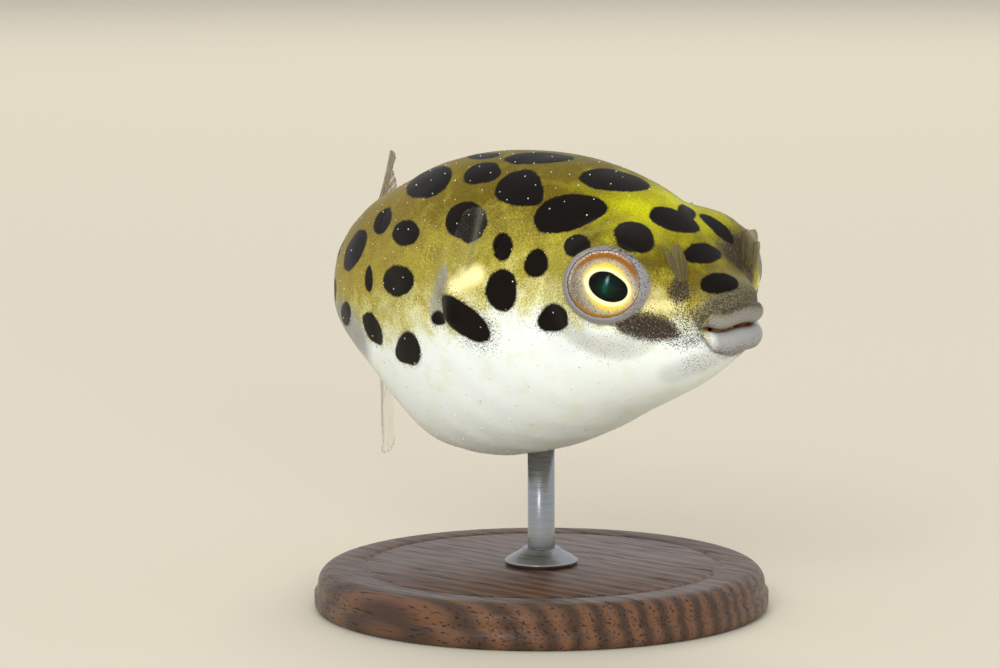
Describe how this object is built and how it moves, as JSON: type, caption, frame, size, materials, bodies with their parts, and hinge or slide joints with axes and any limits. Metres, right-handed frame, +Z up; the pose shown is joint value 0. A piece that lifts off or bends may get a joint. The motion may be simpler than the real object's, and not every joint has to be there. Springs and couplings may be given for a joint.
{
  "type": "green spotted puffer fish display model",
  "caption": "Still, life-size model of a young green spotted puffer, tail bent to its left, held by a short rod on a round base.",
  "frame": {"origin": "centre of the stand's flat underside", "axes": "+Z up, +X towards the fish's nose, +Y towards the fish's left side, to which the tail is bent"},
  "size_m": [0.0475, 0.0449, 0.0322],
  "materials": {
    "skin": "wet satin skin, olive yellow with dark spots and a white belly",
    "lip": "soft grey-pink lip skin",
    "beak": "ivory tooth plate",
    "eye": "clear domed eye over a gold iris",
    "fin": "thin clear membrane with fine rays",
    "base_wood": "dark turned hardwood, satin varnish",
    "stand_metal": "brushed stainless steel"
  },
  "bodies": {
    "root": {"head": "skin", "trunk": "skin", "tail": "skin", "upper_lip": "lip", "lower_lip": "lip", "beak_upper": "beak", "beak_lower": "beak", "eye_right": "eye", "eye_left": "eye", "nostril_right": "skin", "nostril_left": "skin", "dorsal_fin": "fin", "anal_fin": "fin", "caudal_fin": "fin", "pectoral_fin_right": "fin", "pectoral_fin_left": "fin", "stand_base": "base_wood", "stand_flange": "stand_metal", "stand_rod": "stand_metal"}
  },
  "joints": []
}
